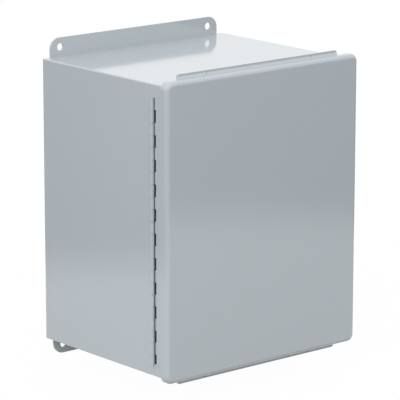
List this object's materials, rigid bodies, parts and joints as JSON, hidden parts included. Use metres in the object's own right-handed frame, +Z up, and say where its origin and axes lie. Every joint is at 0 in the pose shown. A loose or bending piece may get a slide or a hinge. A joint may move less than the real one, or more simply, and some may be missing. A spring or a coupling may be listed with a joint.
{
  "type": "electrical enclosure",
  "caption": "Wall-mounted sheet-steel enclosure with a flanged door on a continuous hinge, screw clamps, a gasketed opening and an inner mounting panel.",
  "frame": {"origin": "centre of the four mounting holes, on the back sheet's wall face", "axes": "+Z up, +Y back into the wall, +X to the right as seen from the front"},
  "size_m": [0.2791, 0.209, 0.344],
  "materials": {
    "powder_coat": "smooth semi-gloss powder coat",
    "white_enamel": "satin",
    "zinc_steel": "bright zinc plate",
    "stainless": "brushed",
    "gasket_rubber": "matt"
  },
  "bodies": {
    "enclosure": {"body_shell": "powder_coat", "top_panel": "powder_coat", "bottom_panel": "powder_coat", "opening_collar": "powder_coat", "hinge_body_leaf": "powder_coat", "hinge_pin": "powder_coat", "clamp_bosses": "powder_coat", "panel_studs": "zinc_steel", "inner_panel": "white_enamel", "panel_washers": "zinc_steel", "panel_nuts": "zinc_steel", "body_bond_stud": "zinc_steel", "body_bond_washer": "zinc_steel", "body_bond_nut": "zinc_steel"},
    "door": {"door_panel": "powder_coat", "door_gasket": "gasket_rubber", "hinge_door_leaf": "powder_coat", "door_bond_stud": "zinc_steel", "door_bond_washer": "zinc_steel", "door_bond_nut": "zinc_steel"},
    "upper_clamp_screw": {"clamp_screw_upper": "stainless", "clamp_clip_upper": "stainless"},
    "upper_clamp": {"clamp_upper": "stainless"},
    "lower_clamp_screw": {"clamp_screw_lower": "stainless", "clamp_clip_lower": "stainless"},
    "lower_clamp": {"clamp_lower": "stainless"}
  },
  "joints": [
    {"name": "door_hinge", "type": "hinge", "parent": "enclosure", "child": "door", "pos_m": [-0.12655, -0.1848, 0], "axis": [0, 0, -1], "range_deg": [0, 180]},
    {"name": "upper_clamp_draw", "type": "slide", "parent": "enclosure", "child": "upper_clamp_screw", "axis": [1, 0, 0], "range_m": [-0.0034, 0]},
    {"name": "upper_clamp_swing", "type": "hinge", "parent": "upper_clamp_screw", "child": "upper_clamp", "pos_m": [0.143, -0.181, 0.075], "axis": [-1, 0, 0], "range_deg": [0, 90]},
    {"name": "lower_clamp_draw", "type": "slide", "parent": "enclosure", "child": "lower_clamp_screw", "axis": [1, 0, 0], "range_m": [-0.0034, 0]},
    {"name": "lower_clamp_swing", "type": "hinge", "parent": "lower_clamp_screw", "child": "lower_clamp", "pos_m": [0.143, -0.181, -0.075], "axis": [-1, 0, 0], "range_deg": [0, 90]}
  ]
}
